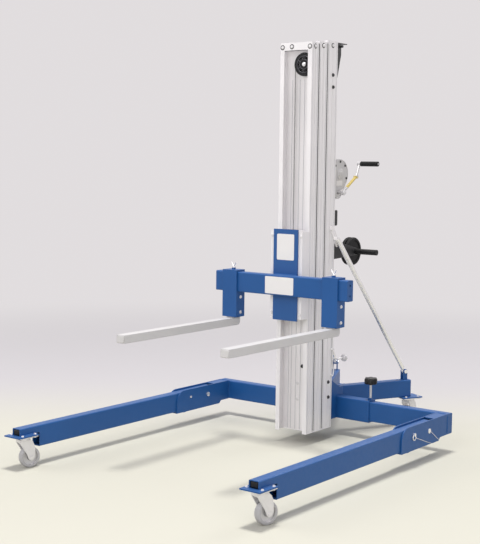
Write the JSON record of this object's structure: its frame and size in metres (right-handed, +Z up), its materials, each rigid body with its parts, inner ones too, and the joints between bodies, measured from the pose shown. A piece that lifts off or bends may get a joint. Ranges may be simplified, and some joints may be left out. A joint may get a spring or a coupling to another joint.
{
  "type": "material hoist",
  "caption": "Hand-cranked material hoist: a telescoping aluminium mast on a blue straddle base with folding legs and casters, a winch, and a carriage with forks.",
  "frame": {"origin": "on the floor below the middle of the hoist's bounding box", "axes": "+Z up, forks and legs point to -Y, +X is the crank's side"},
  "size_m": [1.475, 2.1254, 2.042],
  "materials": {
    "blue_paint": "satin paint",
    "mast_aluminium": "satin extrusion",
    "bright_steel": "bright plated",
    "zinc_steel": "zinc plated",
    "wire_rope": "stranded wire",
    "grey_tread": "smooth tread",
    "black_plastic": "moulded",
    "black_rubber": "smooth",
    "dark_steel": "satin dark paint",
    "pale_plastic": "sliding plastic",
    "grey_paint": "light grey paint"
  },
  "bodies": {
    "base": {"cross_sleeve": "blue_paint", "mast_mount": "blue_paint", "rear_arm_left": "blue_paint", "rear_arm_right": "blue_paint", "brace_left": "bright_steel", "brace_right": "bright_steel", "rear_caster_plates": "zinc_steel", "rear_column": "mast_aluminium", "sheave_guard": "dark_steel", "winch_frame": "zinc_steel", "winch_cover": "grey_paint", "lift_rope": "wire_rope", "mast_rope": "wire_rope", "wheel_bracket": "dark_steel", "wheel_grips": "black_plastic"},
    "outrigger_left": {"cross_tube_left": "blue_paint", "leg_bracket_left": "blue_paint", "fold_pin_left": "bright_steel"},
    "leg_left": {"leg_left": "blue_paint", "front_caster_plate_left": "zinc_steel"},
    "lock_pin_left": {"lock_pin_left": "bright_steel"},
    "width_knob_left": {"width_knob_left": "black_plastic"},
    "fork_clamp_left": {"fork_clamp_left": "bright_steel"},
    "front_caster_left": {"front_caster_fork_left": "zinc_steel"},
    "front_wheel_left": {"front_wheel_left": "grey_tread"},
    "rear_caster_left": {"rear_caster_fork_left": "zinc_steel"},
    "rear_wheel_left": {"rear_wheel_left": "grey_tread"},
    "fork_left": {"fork_bracket_left": "blue_paint", "fork_left": "grey_paint"},
    "outrigger_right": {"cross_tube_right": "blue_paint", "leg_bracket_right": "blue_paint", "fold_pin_right": "bright_steel"},
    "leg_right": {"leg_right": "blue_paint", "front_caster_plate_right": "zinc_steel"},
    "lock_pin_right": {"lock_pin_right": "bright_steel"},
    "width_knob_right": {"width_knob_right": "black_plastic"},
    "fork_clamp_right": {"fork_clamp_right": "bright_steel"},
    "front_caster_right": {"front_caster_fork_right": "zinc_steel"},
    "front_wheel_right": {"front_wheel_right": "grey_tread"},
    "rear_caster_right": {"rear_caster_fork_right": "zinc_steel"},
    "rear_wheel_right": {"rear_wheel_right": "grey_tread"},
    "fork_right": {"fork_bracket_right": "blue_paint", "fork_right": "grey_paint"},
    "middle_column": {"middle_column": "mast_aluminium", "middle_slide_pads": "pale_plastic", "column_rope": "wire_rope"},
    "front_column": {"front_column": "mast_aluminium", "front_slide_pads": "pale_plastic", "carriage_rope": "wire_rope"},
    "carriage": {"carriage": "blue_paint", "carriage_pads": "pale_plastic", "load_bar": "blue_paint"},
    "front_sheave": {"front_sheave": "black_plastic"},
    "middle_sheave": {"middle_sheave": "black_plastic"},
    "rear_sheave": {"rear_sheave": "black_plastic"},
    "crank_grip": {"crank_grip": "black_plastic"},
    "transport_wheel": {"transport_wheel": "black_rubber"},
    "drum": {"winch_drum": "bright_steel", "rope_winding": "wire_rope"},
    "crank": {"winch_crank": "bright_steel"}
  },
  "joints": [
    {"name": "outrigger_slide_left", "type": "slide", "parent": "base", "child": "outrigger_left", "axis": [-1, 0, 0], "range_m": [-0.09, 0.05]},
    {"name": "leg_fold_left", "type": "hinge", "parent": "outrigger_left", "child": "leg_left", "pos_m": [-0.6865, 0.33132, 0.15], "axis": [-1, 0, 0], "range_deg": [0, 90]},
    {"name": "lock_pin_pull_left", "type": "slide", "parent": "outrigger_left", "child": "lock_pin_left", "axis": [-1, 0, 0], "range_m": [0, 0.07]},
    {"name": "front_swivel_left", "type": "hinge", "parent": "leg_left", "child": "front_caster_left", "pos_m": [-0.6865, -0.99268, 0.137], "axis": [0, 0, 1], "continuous": true},
    {"name": "front_roll_left", "type": "hinge", "parent": "front_caster_left", "child": "front_wheel_left", "pos_m": [-0.67723, -0.96415, 0.049], "axis": [0.9511, -0.309, 0], "continuous": true},
    {"name": "rear_swivel_left", "type": "hinge", "parent": "base", "child": "rear_caster_left", "pos_m": [-0.2377, 0.98368, 0.137], "axis": [0, 0, 1], "continuous": true},
    {"name": "rear_roll_left", "type": "hinge", "parent": "rear_caster_left", "child": "rear_wheel_left", "pos_m": [-0.2377, 1.01368, 0.049], "axis": [1, 0, 0], "continuous": true},
    {"name": "width_knob_turn_left", "type": "hinge", "parent": "base", "child": "width_knob_left", "pos_m": [-0.26, 0.54632, 0.31], "axis": [0, 0, 1], "continuous": true},
    {"name": "fork_slide_left", "type": "slide", "parent": "carriage", "child": "fork_left", "axis": [-1, 0, 0], "range_m": [-0.16, 0.045]},
    {"name": "fork_clamp_turn_left", "type": "hinge", "parent": "fork_left", "child": "fork_clamp_left", "pos_m": [-0.305, 0.10282, 0.895], "axis": [0, 0, 1], "continuous": true},
    {"name": "outrigger_slide_right", "type": "slide", "parent": "base", "child": "outrigger_right", "axis": [1, 0, 0], "range_m": [-0.09, 0.05]},
    {"name": "leg_fold_right", "type": "hinge", "parent": "outrigger_right", "child": "leg_right", "pos_m": [0.6865, 0.33132, 0.15], "axis": [-1, 0, 0], "range_deg": [0, 90]},
    {"name": "lock_pin_pull_right", "type": "slide", "parent": "outrigger_right", "child": "lock_pin_right", "axis": [1, 0, 0], "range_m": [0, 0.07]},
    {"name": "front_swivel_right", "type": "hinge", "parent": "leg_right", "child": "front_caster_right", "pos_m": [0.6865, -0.99268, 0.137], "axis": [0, 0, 1], "continuous": true},
    {"name": "front_roll_right", "type": "hinge", "parent": "front_caster_right", "child": "front_wheel_right", "pos_m": [0.69577, -0.96415, 0.049], "axis": [0.9511, -0.309, 0], "continuous": true},
    {"name": "rear_swivel_right", "type": "hinge", "parent": "base", "child": "rear_caster_right", "pos_m": [0.2377, 0.98368, 0.137], "axis": [0, 0, 1], "continuous": true},
    {"name": "rear_roll_right", "type": "hinge", "parent": "rear_caster_right", "child": "rear_wheel_right", "pos_m": [0.2377, 1.01368, 0.049], "axis": [1, 0, 0], "continuous": true},
    {"name": "width_knob_turn_right", "type": "hinge", "parent": "base", "child": "width_knob_right", "pos_m": [0.26, 0.54632, 0.31], "axis": [0, 0, 1], "continuous": true},
    {"name": "fork_slide_right", "type": "slide", "parent": "carriage", "child": "fork_right", "axis": [1, 0, 0], "range_m": [-0.16, 0.045]},
    {"name": "fork_clamp_turn_right", "type": "hinge", "parent": "fork_right", "child": "fork_clamp_right", "pos_m": [0.305, 0.10282, 0.895], "axis": [0, 0, 1], "continuous": true},
    {"name": "middle_lift", "type": "slide", "parent": "base", "child": "middle_column", "axis": [0, 0, 1], "range_m": [0, 1.45], "deforming": ["mast_rope"]},
    {"name": "front_lift", "type": "slide", "parent": "middle_column", "child": "front_column", "axis": [0, 0, 1], "range_m": [0, 1.45], "deforming": ["column_rope"]},
    {"name": "carriage_lift", "type": "slide", "parent": "front_column", "child": "carriage", "axis": [0, 0, 1], "range_m": [-0.5, 0.72], "deforming": ["carriage_rope"]},
    {"name": "drum_spin", "type": "hinge", "parent": "base", "child": "drum", "pos_m": [0, 0.52432, 1.375], "axis": [1, 0, 0], "range_deg": [-798, 1144]},
    {"name": "crank_spin", "type": "hinge", "parent": "base", "child": "crank", "pos_m": [0, 0.50765, 1.28046], "axis": [1, 0, 0], "range_deg": [-2907, 2022]},
    {"name": "crank_grip_spin", "type": "hinge", "parent": "crank", "child": "crank_grip", "pos_m": [0.18, 0.61899, 1.42821], "axis": [1, 0, 0], "continuous": true},
    {"name": "rear_sheave_spin", "type": "hinge", "parent": "base", "child": "rear_sheave", "pos_m": [0, 0.43632, 1.99], "axis": [1, 0, 0], "range_deg": [-952, 665]},
    {"name": "middle_sheave_spin", "type": "hinge", "parent": "middle_column", "child": "middle_sheave", "pos_m": [-0.028, 0.29832, 1.926], "axis": [0, 1, 0], "range_deg": [-750, 524]},
    {"name": "front_sheave_spin", "type": "hinge", "parent": "front_column", "child": "front_sheave", "pos_m": [0.028, 0.23232, 1.918], "axis": [0, 1, 0], "range_deg": [-524, 750]},
    {"name": "transport_wheel_roll", "type": "hinge", "parent": "base", "child": "transport_wheel", "pos_m": [0, 0.74132, 0.958], "axis": [1, 0, 0], "continuous": true}
  ],
  "couplings": [
    {"joint": "drum_spin", "follows": "carriage_lift", "rad_per_m": 27.473},
    {"joint": "crank_spin", "follows": "carriage_lift", "rad_per_m": -70.208},
    {"joint": "rear_sheave_spin", "follows": "carriage_lift", "rad_per_m": -22.831},
    {"joint": "middle_sheave_spin", "follows": "carriage_lift", "rad_per_m": -17.921},
    {"joint": "front_sheave_spin", "follows": "carriage_lift", "rad_per_m": 17.921}
  ]
}
